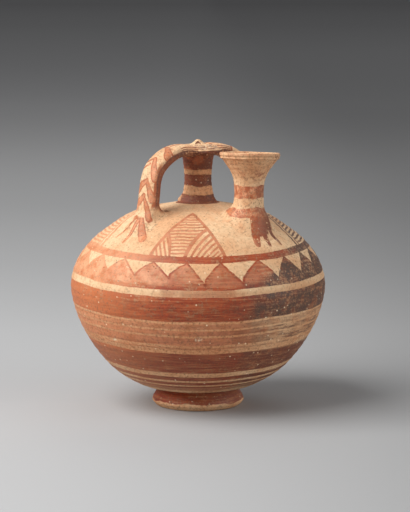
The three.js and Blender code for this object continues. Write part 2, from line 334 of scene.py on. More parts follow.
# The two halves of the body, with inner outlines as radius and height
inner_rim = (body_radius - body_wall, widest_height)
floor_top = foot_height + body_wall
body_inside = [(58.5, 48.95), (52.3, 36.83), (44.8, 27.04), (38.8, 21.58), (33, 17.96), (27.3, 15.31)]
shoulder_inside = [(9.4, 101), (24.1, 98.8), (34.5, 95.3), (43.4, 89.6), (51.9, 82.87), (58.9, 73.43)]
body_sides = 400


def body_half(name, before, rises, after, rim):
    """Half of the body, from the outlines before and after its outer surface. Its rim is sharp."""
    outer = body_point(rises[:, None], np.linspace(0, FULL_TURN, body_sides, endpoint=False)[None, :])
    first, last = (rings_from(np.array(outline), body_sides) for outline in (before, after))
    along = np.concatenate([[rises[0]] * len(before), rises, [rises[-1]] * len(after)])
    values = {"meridian": np.repeat(along[:, None], body_sides, 1)}
    return make_mesh(name, np.concatenate([first, outer, last]), values=values, sharp_rows=(rim - 1, rim))


def lower_body_mesh():
    rises = np.concatenate([np.linspace(body_length[0], -0.9, 84), [-0.05, 0]])
    start = [(2.0, foot_height), (12.0, foot_height)]
    inner = [inner_rim] + body_inside + [(foot_seat_radius, floor_top), (2.0, floor_top)]
    return body_half("lower_body_clay", start, rises, inner, len(start) + len(rises))


def shoulder_mesh():
    low, smeared = np.linspace(0.9, 56.5, 62), np.linspace(57, 64, 24)
    rises = np.concatenate([[0, 0.05], low, smeared, np.linspace(64.8, body_length[-1], 15)])
    inner = [(2.0, 101.0)] + shoulder_inside + [inner_rim]
    return body_half("shoulder_clay", inner, rises, [(6.0, neck_seat), (2.0, neck_seat)], len(inner))


# The hole in the shoulder under the spout
def pierce(piece):
    angle = np.linspace(0, FULL_TURN, 48, endpoint=False)
    rows = []
    for depth in (-16.0, 3.0):
        x = spout_hole_radius * np.cos(angle) + depth * math.sin(spout_lean)
        y = spout_hole_radius * np.sin(angle) - spout_offset
        rows.append(np.stack([x, y, depth + shoulder_z(spout_offset) + 0 * angle], -1))
    cutter = put("cutter", make_mesh("cutter", rows))
    cut = piece.modifiers.new("hole", "BOOLEAN")
    cut.operation = "DIFFERENCE"
    cut.solver = "EXACT"
    cut.object = cutter
    graph = bpy.context.evaluated_depsgraph_get()
    mesh = bpy.data.meshes.new_from_object(piece.evaluated_get(graph))
    piece.modifiers.clear()
    piece.data = mesh
    bpy.data.objects.remove(cutter)


# False neck: a waisted spool, luted on to the shoulder
def neck_mesh():
    waist = neck_seat + 0.45 * neck_height
    towards = lambda end: waist + 0.7 * (end - waist)
    flared = lambda end: neck_waist_radius + 0.4 * (end - neck_waist_radius)
    knots = [
        (neck_seat_radius, neck_seat),
        (flared(neck_seat_radius), towards(neck_seat)),
        (neck_waist_radius, waist),
        (flared(neck_top_radius), towards(disc_seat)),
        (neck_top_radius, disc_seat),
    ]
    side = evenly(spline(knots, 120), 64)
    skirt = [(neck_seat_radius + 1.5, shoulder_z(11.5) - 0.15), (neck_seat_radius + 0.7, neck_seat + 0.02)]
    bore = [(neck_bore_radius, disc_seat), (neck_bore_radius, neck_seat)]
    rows = rings_from(np.vstack([skirt, side[1:], bore]), 160)
    angle, radius, height = in_round(rows)
    turn = facing_turn(angle)
    ridge = 0.06 * np.sin(height * FULL_TURN / 2.6 + np.sin(angle + 1))
    swell = ridge - 0.1 + 0.22 * lumps(angle, height, 21, length=18)
    # A small lump of luting clay left at the base, towards the left handle
    lump = dab(turn, height, -78, 107.4, 17, 1.7) + 0.3 * dab(turn, height, -99, 108.6, 8, 1.1)
    fade = smoothstep(height, 105.6, 107.5) * (1 - smoothstep(height, 129.5, disc_seat))
    push(rows, angle, np.where(radius > 4, swell * fade + 1.7 * lump, 0))
    return make_mesh("neck_clay", rows, loop=True)


# Nicks in the disc's edge, as turn, height, width and depth
disc_nicks = [
    (18, 132.9, 5, 0.7), (-14, 131.4, 4, 0.45), (38, 131.8, 6, 0.5), (-38, 133, 7, 0.4), (150, 132.6, 8, 0.6)
]


# Disc that closes the false neck
def disc_mesh():
    t = np.linspace(0, 1, 40)[:, None]
    low, high = disc_seat, disc_edge_top
    crown = bezier(t, [disc_radius, high - 0.8], [disc_radius, high + 0.1], [8.15, disc_top], [3.4, disc_top])
    inside, corner, outside = [disc_radius - 0.9, low], [disc_radius, low], [disc_radius, low + 0.9]
    under = arc(np.linspace(0, 1, 8)[:, None], inside, corner, outside)
    rows = rings_from(np.vstack([[(1.5, low), (8.0, low)], under, crown, [(1.2, disc_top)]]), 200)
    angle, radius, height = in_round(rows)
    turn = facing_turn(angle)
    rim = smoothstep(radius, 8, 12)
    sunk = rim * np.clip(0.22 - 0.3 * lumps(angle, height, 31, reach=7, length=9), 0, 1)
    for where, level, width, deep in disc_nicks:
        sunk = sunk + rim * deep * dab(turn, height, where, level, width, 0.8)
    push(rows, angle, -sunk)
    top = smoothstep(height, disc_edge_top - 0.6, disc_edge_top + 0.4) * smoothstep(radius, 2.5, 4.5)
    uneven = lumps(angle, radius, 33, waves=9, reach=11, length=5)
    rows[..., 2] -= top * np.clip(0.1 - 0.75 * uneven, 0, 0.6)
    return make_mesh("disc_clay", rows)


# Small cone on the disc, chipped on the side towards the camera
def knob_mesh():
    t = np.linspace(0, 1, 22)[:, None]
    tip, middle = knob_radius * 0.45, disc_top + knob_height / 2
    side = bezier(t, [knob_radius, disc_top], [tip, middle], [tip, knob_top], [0.12, knob_top])
    rows = rings_from(np.vstack([[(1.0, disc_top - 0.3), (knob_radius, disc_top - 0.3)], side]), 72)
    angle, radius, height = in_round(rows)
    share = np.clip((height - disc_top) / knob_height, 0, 1)
    swell = 0.22 * lumps(angle, height, 41, length=4) * np.minimum(radius, 1)
    chip = dab(facing_turn(angle), height, 0, disc_top + 0.85, 40, 0.6)
    push(rows, angle, swell - 1.1 * chip * np.minimum(radius / 1.2, 1))
    rows[..., 2] -= 0.12 * share * (1 + np.sin(angle * 2 + 1)) * np.minimum(radius, 1)
    return make_mesh("knob_clay", rows)


def seated(columns, spread, rise, count, drawn):
    """Rings of a piece whose columns of points end in smooth curves that run out on to the shoulder.

    A curve starts at a rise above the shoulder and ends just inside the shoulder, at a spread outside the
    piece. It is drawn on a little where the clay was smeared.
    """
    above = columns[..., 2] - shoulder_z(np.hypot(columns[..., 0], columns[..., 1]))
    first = np.argmax(above < 0, 1)
    pick = np.arange(len(columns))
    before, after = columns[pick, first - 1], columns[pick, first]
    share = (above[pick, first - 1] / (above[pick, first - 1] - above[pick, first]))[:, None]
    crossing = before + share * (after - before)
    tangent = np.roll(crossing[:, :2], -1, 0) - np.roll(crossing[:, :2], 1, 0)
    outward = np.stack([tangent[:, 1], -tangent[:, 0]], 1)
    outward /= np.linalg.norm(outward, axis=1)[:, None]
    middle = crossing[:, :2].mean(0)
    if np.sum(outward * (crossing[:, :2] - middle)) < 0:
        outward = -outward
    t = np.linspace(0, 1, 14)[:, None]
    lines = []
    for k, column in enumerate(columns):
        upper = evenly(np.vstack([column[: first[k]], crossing[k]]), count, rise[k])
        start = upper[-1]
        heading = upper[-1, :3] - upper[-2, :3]
        heading /= np.linalg.norm(heading)
        end = crossing[k].copy()
        end[:2] += outward[k] * spread[k] + drawn[k]
        end[2] = shoulder_z(np.hypot(*end[:2])) - 0.5
        level = end[:3] - crossing[k, :3]
        reach = np.linalg.norm(level)
        level /= reach
        bend = np.tile(start, (len(t), 1)) + t * (end - start)
        leave, arrive = start[:3] + heading * rise[k] * 0.7, end[:3] - level * reach * 0.7
        bend[:, :3] = bezier(t, start[:3], leave, arrive, end[:3])
        below = bend[-1].copy()
        below[2] -= 1.5
        lines.append(np.vstack([upper, bend[1:], below]))
    return np.swapaxes(lines, 0, 1)


# Strap handles: shares of the reach, of the climb and of the rise along the centreline
handle_path_shares = [
    (0, 0.985, 0), (0.24, 0.97, 0.8), (0.48, 0.915, 1), (0.71, 0.815, 1), (0.87, 0.705, 0.8),
    (0.955, 0.565, 0.5), (0.992, 0.4, 0),
]
# Width and thickness of the strap at shares of its length
handle_swell_shares = [
    (0, 1.1, 1.15), (0.16, 1.02, 1.02), (0.38, 0.98, 1.06), (0.55, 0.97, 0.98), (0.72, 1, 1.02),
    (0.84, 1.03, 1.16), (0.92, 1.12, 1.5), (1, 1.25, 2.1),
]


def handle_line(rise):
    """Centreline of a handle as distance from the axis and height, from the disc to below the shoulder."""
    start, reach = neck_top_radius, handle_reach - neck_top_radius
    root_radius = handle_reach + handle_spread
    root = float(shoulder_z(root_radius))
    climb = disc_seat + handle_crown_above_seat - root
    knots = [(start + reach * out, root + climb * up + lift * rise) for out, up, lift in handle_path_shares]
    knots = np.array(knots + [(root_radius, root), (root_radius + 0.9, root - body_wall)])
    wide = np.vstack([2 * knots[0] - knots[1], knots, 2 * knots[-1] - knots[-2]])
    pieces = []
    for i in range(len(knots) - 1):
        p0, p1, p2, p3 = wide[i : i + 4]
        d0, d1, d2 = (math.sqrt(np.linalg.norm(b - a)) for a, b in ((p0, p1), (p1, p2), (p2, p3)))
        leave = ((p1 - p0) / d0 - (p2 - p0) / (d0 + d1) + (p2 - p1) / d1) * d1
        arrive = ((p2 - p1) / d1 - (p3 - p1) / (d1 + d2) + (p3 - p2) / d2) * d1
        w = np.linspace(0, 1, 40, endpoint=i == len(knots) - 2)[:, None]
        pieces.append(hermite(p1, p2, leave, arrive, w))
    return np.vstack(pieces)


def table(shares, share, column):
    """A column of a table of shares, eased from row to row."""
    rows = np.array(shares)
    index = np.clip(np.searchsorted(rows[:, 0], share) - 1, 0, len(rows) - 2)
    step = smoothstep((share - rows[index, 0]) / (rows[index + 1, 0] - rows[index, 0]), 0, 1)
    return rows[index, column] + step * (rows[index + 1, column] - rows[index, column])


def handle_mesh(name, rise, seed, mirrored):
    line = evenly(handle_line(rise), 170)
    length = walked(line)
    share = length / length[-1]
    inward = np.array([-1.0, 0.0])
    onward = (line[-1] - line[-2]) / np.linalg.norm(line[-1] - line[-2])
    lap = np.linspace(6.0, 0.5, 10)[:, None]
    deeper = np.linspace(0.5, 10.0, 16)[:, None]
    line = np.vstack([line[0] + lap * inward, line, line[-1] + deeper * onward])
    share = np.concatenate([[0.0] * len(lap), share, [1.0] * len(deeper)])
    along = np.concatenate([-lap[:, 0], length, length[-1] + deeper[:, 0]])
    tangent = np.gradient(line, axis=0)
    tangent /= np.linalg.norm(tangent, axis=1)[:, None]
    out = np.stack([-tangent[:, 1], tangent[:, 0]], 1)
    side = np.linspace(0, FULL_TURN, 64, endpoint=False)[:, None]
    cos, sin = np.cos(side), np.sin(side)
    # Towards the disc the strap fans out, thins and sinks into the crown, as it was smoothed on by hand
    near_disc = 1 - smoothstep(along, -2, 9)
    sinking = 1 - smoothstep(along, -6, 2)
    power = np.where(sin >= 0, 2 / (3 - 0.8 * near_disc), 2 / (6 - 3 * near_disc))
    half = 0.5 * handle_width * table(handle_swell_shares, share, 1)
    half = half + near_disc * np.where(sin >= 0, 2.5, 0.9)
    swell = table(handle_swell_shares, share, 2)
    across = np.sign(cos) * np.abs(cos) ** power * half
    outer, inner = handle_outer_thickness * (1 - 0.4 * sinking), handle_inner_thickness * (1 - 0.58 * sinking)
    thick = np.where(sin >= 0, outer, -inner)
    through = np.abs(sin) ** power * thick * swell
    rough = 0.16 * lumps(side, along, seed, reach=5, length=16)
    across = across + rough * cos * 0.8 - 0.1 * np.sign(cos)
    through = through + rough * sin - 0.12 * np.sign(sin)
    x = line[:, 0] + out[:, 0] * through
    z = line[:, 1] + out[:, 1] * through
    columns = np.stack([x, across, z, across, along + 0 * x, through], -1)
    columns[..., :2] *= -1 if mirrored else 1
    spread = 2.2 + 1.3 * np.clip(sin[:, 0], 0, 1) + 1.2 * np.clip(-sin[:, 0], 0, 1)
    lift = 3.4 + 1.6 * np.clip(sin[:, 0], 0, 1)
    # A web of clay, smeared from the left handle's near edge towards the neck
    web = np.exp(-(((side[:, 0] - math.radians(305)) / 0.42) ** 2)) * mirrored
    rows = seated(columns, spread - 1.2 * web, lift + 5.0 * web, 150, web[:, None] * [9.5, -1.0])
    mesh = make_mesh(name, rows[..., :3], values={"strap": rows[..., 3:]})
    put_outward(mesh)
    return mesh


# Spout: a funnel on a narrow neck, leaning a little
flare_shares = [
    (0.08, 0.18), (0.01, 0.31), (0.01, 0.45), (0.08, 0.59), (0.3, 0.72), (0.56, 0.81), (0.79, 0.885)
]


def spout_mesh():
    height, lip, throat, bore_radius = spout_height, spout_lip_radius, spout_throat_radius, spout_bore_radius
    flare = [(throat + (lip - throat) * out, up * height) for out, up in flare_shares]
    under = (lip - 0.3, 0.915 * height)
    outside = spline([(spout_base_radius, -11.0), (spout_base_radius, 0.0)] + flare + [under], 400)
    groove = spline([under, (lip - 0.42, 0.937 * height), (lip - 0.05, 0.957 * height)], 12)[1:]
    rim = arc(np.linspace(0, 1, 9)[1:, None], groove[-1], [lip, height], [lip - 0.85, height])
    mouth = lip - 1.7
    inward = spline([rim[-1], (mouth + 0.1, height - 0.35), (mouth - 0.15, height - 1.1)], 5)
    rim = np.vstack([rim, inward[1:]])
    low = 0.45 * height
    t = np.linspace(0, 1, 40)[1:, None]
    wide = [bore_radius + 0.85 * (mouth - bore_radius), height + (low - height) / 3]
    funnel = bezier(t, rim[-1], wide, [bore_radius, (low + height) / 2], [bore_radius, low])
    bore = np.linspace(funnel[-1], [bore_radius, -9.0], 14)[1:]
    sides = 160
    placed = []
    for outline in (outside[::-1], np.vstack([groove, rim, funnel, bore])):
        rows = rings_from(outline, sides)
        angle, _, up = in_round(rows)
        ridge = 0.045 * np.sin(up * FULL_TURN / 2.3 + 1.3 * np.sin(angle)) * smoothstep(up, 12, 20)
        swell = ridge - 0.12 + 0.22 * lumps(angle, up, 51, length=18)
        push(rows, angle, swell * np.where(up > 31.5, 0.6, 1))
        wave = 0.28 * lumps(angle, 0 * up, 57, reach=5) - 0.05 + 0.4 * np.cos(angle - camera_azimuth)
        rows[..., 2] += wave * smoothstep(up, 27, 33)
        slope = 0.6 * (shoulder_z(spout_offset - throat) - shoulder_z(spout_offset + throat)) / (2 * throat)
        slant = 1 - smoothstep(rows[..., 2], 0, low)
        rows[..., 2] += slant * slope * rows[..., 1]
        x = rows[..., 0] * math.cos(spout_lean) + rows[..., 2] * math.sin(spout_lean)
        z = -rows[..., 0] * math.sin(spout_lean) + rows[..., 2] * math.cos(spout_lean)
        placed.append(np.stack([x, rows[..., 1] - spout_offset, z + shoulder_z(spout_offset), up], -1))
    outer, above = placed
    spread, lift, drawn = np.full(sides, 3.4), np.full(sides, 4.5), np.zeros((sides, 2))
    outer = seated(np.swapaxes(outer, 0, 1), spread, lift, 110, drawn)
    rows = np.concatenate([above[::-1], outer])
    mesh = make_mesh("spout_clay_body", rows[..., :3], loop=True, values={"climb": rows[..., 3]})
    put_outward(mesh)
    return mesh


# Materials. Colours are written as they look, and lengths in a material are millimetres too.

def colour(red, green, blue):
    channels = [c / 255 for c in (red, green, blue)]
    return tuple(c / 12.92 if c <= 0.04045 else ((c + 0.055) / 1.055) ** 2.4 for c in channels) + (1.0,)


class Field:
    """A value that varies over a surface, and can be reckoned with."""

    def __init__(self, surface, socket):
        self.surface = surface
        self.socket = socket

    def math(self, operation, *others, clamp=False):
        node = self.surface.node("ShaderNodeMath", self, *others, operation=operation, use_clamp=clamp)
        return Field(self.surface, node.outputs[0])

    __add__ = partialmethod(math, "ADD")
    __sub__ = partialmethod(math, "SUBTRACT")
    __mul__ = partialmethod(math, "MULTIPLY")
    __truediv__ = partialmethod(math, "DIVIDE")
    times_plus = partialmethod(math, "MULTIPLY_ADD")
    least = partialmethod(math, "MINIMUM")
    most = partialmethod(math, "MAXIMUM")
    size = partialmethod(math, "ABSOLUTE")

    def wave(self, period, shift=0.0):
        return self.times_plus(FULL_TURN / period, shift).math("SINE")

    def ramp(self, low, high, start=0.0, end=1.0):
        """Smoothly from start to end as the value goes from low to high."""
        values = self, low, high, start, end
        node = self.surface.node("ShaderNodeMapRange", *values, interpolation_type="SMOOTHSTEP")
        return Field(self.surface, node.outputs[0])

    def fall(self, low, high):
        """Smoothly from 1 to 0 as the value goes from low to high."""
        return self.ramp(low, high, 1, 0)

    def within(self, low, high, soft=0.12):
        """1 between two values, with soft edges."""
        middle, half = (low + high) / 2, (high - low) / 2
        return (self - middle).size().fall(half - soft, half + soft)

    def ruled(self, period):
        """Brushed lines, one in each period."""
        return ((self / period).math("FRACT") - 0.5).size().fall(0.2, 0.27)

    def flipped(self):
        return self.times_plus(-1, 1)

    def filled(self, soft=0.18):
        """1 where a distance to an edge is negative."""
        return self.fall(-soft, soft)

    def pooled(self):
        """1 along the inside of an edge, where wet paint gathers."""
        return self.ramp(-0.9, -0.4)


class Surface:
    """The node tree of one material."""

    def __init__(self, name):
        self.material = bpy.data.materials.new(name)
        self.material.use_nodes = True
        self.tree = self.material.node_tree
        self.shader = self.tree.nodes["Principled BSDF"]
        self.place = self.scaled(self.node("ShaderNodeTexCoord").outputs["Object"], 1000)
        self.x, self.y, self.z = self.split(self.place)

    def rightward(self):
        """Distance from the axis to the right, for someone who looks at the painted front."""
        return (self.x - self.y) * math.sqrt(0.5)

    def forward(self):
        """Distance from the axis towards the painted front, between the left handle and the spout."""
        return (self.x + self.y) * -math.sqrt(0.5)

    def from_axis(self):
        return (self.x * self.x + self.y * self.y).math("SQRT")

    def node(self, kind, *values, **settings):
        """A new node with its settings, whose first inputs take the values."""
        node = self.tree.nodes.new(kind)
        for key, value in settings.items():
            setattr(node, key, value)
        for socket, value in zip(node.inputs, values):
            self.feed(socket, value)
        return node

    def feed(self, socket, value):
        if isinstance(value, Field):
            self.tree.links.new(value.socket, socket)
        elif isinstance(value, bpy.types.NodeSocket):
            self.tree.links.new(value, socket)
        else:
            socket.default_value = value

    def shade(self, name, value):
        self.feed(self.shader.inputs[name], value)

    def split(self, vector):
        return [Field(self, socket) for socket in self.node("ShaderNodeSeparateXYZ", vector).outputs]

    def joined(self, x, y, z=0.0):
        return self.node("ShaderNodeCombineXYZ", x, y, z).outputs[0]

    def attribute(self, name, vector=False):
        node = self.node("ShaderNodeAttribute", attribute_name=name)
        return node.outputs["Vector"] if vector else Field(self, node.outputs["Fac"])

    def vector(self, operation, *values, out=0):
        return self.node("ShaderNodeVectorMath", *values, operation=operation).outputs[out]

    def scaled(self, vector, factor):
        node = self.node("ShaderNodeVectorMath", vector, operation="SCALE")
        self.feed(node.inputs["Scale"], factor)
        return node.outputs[0]

    def noise(self, size, detail=2.0, rough=0.5, at=None, squeeze=(1, 1, 1)):
        """Noise from 0 to 1 with features of a size in millimetres."""
        node = self.node("ShaderNodeTexNoise")
        place = self.vector("MULTIPLY", self.place if at is None else at, squeeze)
        self.feed(node.inputs["Vector"], place)
        node.inputs["Scale"].default_value = 1 / size
        node.inputs["Detail"].default_value = detail
        node.inputs["Roughness"].default_value = rough
        return Field(self, node.outputs[0])

    def waver(self, size, amount, detail=2.0, rough=0.5):
        """Noise round zero, for lines drawn by hand."""
        return (self.noise(size, detail, rough) - 0.5) * amount

    def specks(self, size, reach, at):
        """Round specks, 1 at the middle of each cell, and a random value for each cell."""
        node = self.node("ShaderNodeTexVoronoi", at, feature="F1")
        node.inputs["Scale"].default_value = 1 / size
        node.inputs["Randomness"].default_value = 1.0
        pick = self.split(node.outputs["Color"])[0]
        return Field(self, node.outputs["Distance"]).fall(reach * 0.5, reach), pick

    def mix(self, share, first, second):
        node = self.node("ShaderNodeMix", data_type="RGBA", clamp_factor=True)
        self.feed(node.inputs["Factor"], share)
        self.feed(node.inputs[6], first)
        self.feed(node.inputs[7], second)
        return node.outputs[2]

    def banded(self, value, low, high, stops):
        """Amount of paint along a value, from stops of place and amount."""
        node = self.node("ShaderNodeValToRGB")
        share = value.ramp(low, high)
        share.socket.node.interpolation_type = "LINEAR"
        self.feed(node.inputs[0], share)
        ramp = node.color_ramp
        while len(ramp.elements) < len(stops):
            ramp.elements.new(0.5)
        for element, (at, amount) in zip(ramp.elements, stops):
            element.position = (at - low) / (high - low)
            element.color = (amount, amount, amount, 1)
        return Field(self, node.outputs[0])

    def stroke(self, at, x0, y0, x1, y1, half0, half1):
        """Distance to the edge of a brush stroke between two points of a chart, negative inside it."""
        run = (x1 - x0, y1 - y0, 0)
        length = run[0] ** 2 + run[1] ** 2
        from_start = self.vector("SUBTRACT", at, (x0, y0, 0))
        share = Field(self, self.vector("DOT_PRODUCT", from_start, run, out="Value"))
        share = share.math("DIVIDE", length, clamp=True)
        gap = self.vector("SUBTRACT", from_start, self.scaled(run, share))
        far = Field(self, self.vector("LENGTH", gap, out="Value"))
        return far - share.times_plus(half1 - half0, half0)

    def strokes(self, at, lines):
        """Distance to the edge of several brush strokes together."""
        total = self.stroke(at, *lines[0])
        for line in lines[1:]:
            total = total.least(self.stroke(at, *line))
        return total


cream = colour(230, 194, 152)
buff = colour(216, 166, 122)
orange_clay = colour(206, 136, 88)
red_paint = colour(154, 62, 33)
orange_paint = colour(196, 112, 66)
wash_paint = colour(228, 165, 123)
brown_paint = colour(110, 54, 34)
dark_paint = colour(84, 64, 54)
grit_white = colour(250, 226, 188)
pit_dark = colour(92, 62, 44)


def clay_finish(
    surface, paint, fired_and_lit_orange, dark, seed, orange=0.0, thin=0.0,
    comb=1.0, grain=1.0, white=0.75, scars=0.0, wear=0.0,
):
    """Colour, roughness and relief of painted clay.

    It takes the share of paint, where the paint turns orange or darker from its firing and from painted light
    and shade, a shift of the grain, the orange of bare clay, where the paint is thin, the strength of brush
    marks, grain and white grit, and scars and wear.
    """
    at = surface.vector("ADD", surface.place, seed)
    broad = surface.noise(24, 3, 0.55, at=at)
    middle = surface.noise(5, 4, 0.65, at=at)
    fine = surface.noise(1.3, 4, 0.75, at=at)
    combed = surface.noise(1.2, 3, 0.6, at=at, squeeze=(0.09, 0.09, 1.5))
    combed = (combed - 0.5) * comb + 0.5

    clay = surface.mix(broad.ramp(0.36, 0.66), cream, buff)
    clay = surface.mix(middle.ramp(0.46, 0.74, 0, 0.6 * grain), clay, orange_clay)
    clay = surface.mix(combed.ramp(0.38, 0.7, 0, 0.3), clay, buff)
    clay = surface.mix(orange, clay, surface.mix(combed.ramp(0.38, 0.66, 0, 0.6), orange_clay, orange_paint))

    red = surface.mix(middle.ramp(0.4, 0.7, 0, 0.75), red_paint, brown_paint)
    red = surface.mix(combed.ramp(0.42, 0.66, 0, 0.55), red, orange_paint)
    # Orange paint from firing, and painted light where the pot is lit.
    red = surface.mix(fired_and_lit_orange, red, orange_paint)
    red = surface.mix(thin, red, surface.mix(middle.ramp(0.42, 0.7), wash_paint, orange_paint))
    black = surface.mix(middle.ramp(0.42, 0.66, 0, 0.9), dark_paint, brown_paint)
    # Darker paint from firing, and painted shade where the pot is shaded.
    coat = surface.mix(dark, red, surface.mix(fine.ramp(0.52, 0.68, 0, 0.7), black, orange_paint))

    rubbed = (fine + middle * 0.5 + combed * 0.5 + wear).ramp(1.0, 1.22, 0, 0.55)
    share = paint * rubbed.flipped()
    skin = surface.mix(share, clay, coat)

    grit, grit_pick = surface.specks(3.6, 0.15, at)
    grit = grit * grit_pick.ramp(0.3, 0.34)
    pits, pit_pick = surface.specks(2.1, 0.19, at)
    pits = pits * pit_pick.ramp(0.5, 0.54)
    skin = surface.mix((grit * white).most(scars), skin, grit_white)
    skin = surface.mix(pits * 0.6, skin, pit_dark)
    skin = surface.mix(fine.ramp(0.48, 0.66, 0, 0.95 * grain), skin, surface.mix(0.55, skin, pit_dark))
    light_grain = surface.mix(0.5, skin, surface.mix(share, cream, orange_paint))
    skin = surface.mix(fine.ramp(0.32, 0.5, 0.6 * grain, 0), skin, light_grain)
    surface.shade("Base Color", skin)
    surface.shade("Roughness", share.ramp(0, 1, 0.74, 0.56) + (fine - 0.5) * 0.25)
    surface.shade("Specular IOR Level", 0.35)

    relief = fine * 0.13 + combed * 0.05 + middle * 0.16 + grit * 0.07 - pits * 0.16
    bump = surface.node("ShaderNodeBump")
    bump.inputs["Strength"].default_value = 1.0
    bump.inputs["Distance"].default_value = MM
    surface.feed(bump.inputs["Height"], relief)
    surface.shade("Normal", bump.outputs["Normal"])
    return surface.material


class Chart:
    """Turn and rise of the round body, for its painted pattern, with painted light and shade across it."""

    def __init__(self, surface):
        right, toward = surface.rightward(), surface.forward()
        self.turn = right.math("ARCTAN2", toward) * (360 / FULL_TURN)
        self.radius = right.math("POWER", 2).times_plus(1, toward.math("POWER", 2)).math("SQRT")
        self.side = right / self.radius
        self.rise = surface.attribute("meridian")
        waver = surface.waver(24, 1.5) + surface.waver(2.2, 0.6, 3, 0.6)
        self.level = self.rise - self.side * self.side * 2.2 + waver
        # Painted light: the paint turns orange towards the lit left side.
        self.painted_light_left = (self.side + surface.waver(20, 0.4)).ramp(-0.88, -0.2, 0.95, 0)
        # Painted shade: the paint is darker on the shaded right side, less far round on the shoulder.
        edge = self.rise.ramp(6, 20, 0.38, 0.68)
        self.dark = (self.side - edge + surface.waver(11, 0.75, 4, 0.65)).ramp(-0.1, 0.16)


def edges(bands, soft=0.16):
    """Stops of place and amount for painted bands with soft edges."""
    stops = []
    for low, high, amount in bands:
        stops += [(low - soft, 0), (low + soft, amount), (high - soft, amount), (high + soft, 0)]
    return stops


def plan(turn, rise):
    """Where a point of the body's chart lies, seen from above."""
    radius = float(np.interp(rise, body_length, body_line[:, 0]))
    angle = camera_azimuth + math.radians(turn)
    return radius * math.cos(angle), radius * math.sin(angle)


# Paint that runs from a handle or from the spout on to the shoulder: turn, rise, turn, rise and half-widths
handle_drops = [
    (-45, 45.5, -39.5, 40.5, 0.8, 1.9), (-39.5, 40.5, -34.4, 35.5, 1.9, 2.15),
    (-45.5, 44.5, -46.4, 31.8, 1.5, 0.7), (-49, 47.5, -54.4, 40.5, 1.5, 1.0),
    (-54.4, 40.5, -56.2, 34.2, 1.0, 0.45), (-51, 54.5, -39.6, 48.2, 1.3, 1.3),
]
spout_hand = [
    (57, 49.5, 46.6, 42.6, 2.8, 4.0), (57.5, 47, 51.6, 41, 2.0, 2.7), (43, 43, 39.2, 40, 2.2, 2.4),
    (39.4, 40, 35.2, 31.7, 2.4, 1.7), (44.6, 39.4, 43.1, 30, 2.1, 0.9),
    (48.5, 40.4, 46.9, 37.5, 2.0, 1.3), (49.6, 40.4, 51.5, 34, 1.8, 1.1),
    (51.5, 34, 51.9, 29.8, 1.1, 0.7),
]


def runs(surface, drops, sign=1):
    """Distance to the edge of the drops, or of the same ones on the far side where the sign is negative."""
    at = surface.joined(surface.x * sign, surface.y * sign)
    return surface.strokes(at, [(*plan(*row[:2]), *plan(*row[2:4]), *row[4:]) for row in drops])


def both_drops(surface):
    return runs(surface, handle_drops).least(runs(surface, handle_drops, -1))


def worn_hand(surface):
    """The hand, with small flecks where its paint has come off."""
    return runs(surface, spout_hand).most(surface.noise(1.5, 3).ramp(0.58, 0.66, -4, 1))


def lower_body_paint():
    surface = Surface("red_painted_clay_paint")
    chart = Chart(surface)
    side, rise = chart.side, chart.rise
    low_bands = [(-63, -58.7, 0.7), (-58.5, -56.5, 1), (-54.5, -51.5, 1), (-49.5, -46, 1), (-42.6, -28.4, 1)]
    high_bands = [
        (-25.5, -24.5, 0.4), (-23.1, -18.4, 0.9), (-17.3, -14.6, 0.85), (-13.7, -10.9, 0.65), (-9.7, 4, 1)
    ]
    paint = surface.banded(chart.level, -64, -26, edges(low_bands))
    paint = paint.most(surface.banded(chart.level, -27, 5, edges(high_bands)))
    worn = side.ramp(0.3, 0.7) * rise.within(-27.5, -9.5, 1.5)
    worn = worn * surface.noise(3.5, 4, 0.7, squeeze=(0.4, 0.4, 2.2)).ramp(0.38, 0.56)
    paint = paint * worn.times_plus(-0.85, 1)

    # The three largest chips show bare clay
    flat = surface.joined(chart.turn, rise)
    marks = [(t - 0.5, r, t + 0.6, r + 0.2, 0.6 * size, 0.45 * size) for t, r, size, _ in body_chips[:3]]
    scars = surface.strokes(flat, marks).filled(0.5) * surface.noise(1.4, 3).ramp(0.36, 0.52) * 0.9

    orange = rise.ramp(-12, -4, 0.7, 0.5) * side.ramp(0.25, 0.75, 1, 0.35) * rise.ramp(-44, -36, 0.35, 1)
    thin = rise.within(-24, -10.2, 0.5) * 0.35
    # Painted shade: the paint is darker on the shaded right side, and a little darker all round from the
    # second band down.
    dark = (chart.dark * rise.ramp(-30, -26, 0.7, 1)).most(rise.ramp(-30, -27, 0.3, 0))
    wear = side.ramp(0.35, 0.8, 0, 0.035)
    return clay_finish(
        surface, paint, chart.painted_light_left, dark, (0, 0, 0), orange, thin, white=0.9, scars=scars, wear=wear
    )


def zigzag(surface, chart, waver):
    """Paint of a belt in which pale triangles with rounded right sides are left, and where it is thin, paler
    on the lit left as painted light.
    """
    level, turn = chart.level, chart.turn
    low, tip, top, half, period = 6.4, 13.4, 20.7, 7.4, 360 / 22
    shift = turn.ramp(14, 36) * turn.fall(54, 78) * 3.6
    from_tip = (turn - shift + (360 - 3 + period / 2)).math("MODULO", period) - period / 2
    tip_level = (turn.ramp(-8, 0) * turn.fall(58, 66)).times_plus(-2.9, tip)
    reach = (level - tip_level) / (tip_level * -1 + top)
    rounded = reach.size().math("POWER", 1.5) * reach.math("SIGN")
    gap = ((from_tip * -1) - reach * half).most(from_tip - rounded * half) + waver
    belt = level.within(low, top + 0.2)
    thin = belt * gap.ramp(0.6, 1.8) * surface.noise(8, 3).ramp(0.35, 0.6, 0.45, 0.95) * level.ramp(7.5, 9)
    # Painted light: thinner, paler paint towards the lit left side of the belt.
    thin = thin * chart.side.ramp(-0.6, 0.1, 1, 0.38)
    return belt * gap.ramp(-0.25, 0.25), thin.most(belt * chart.side.ramp(-0.85, -0.35, 0.75, 0))


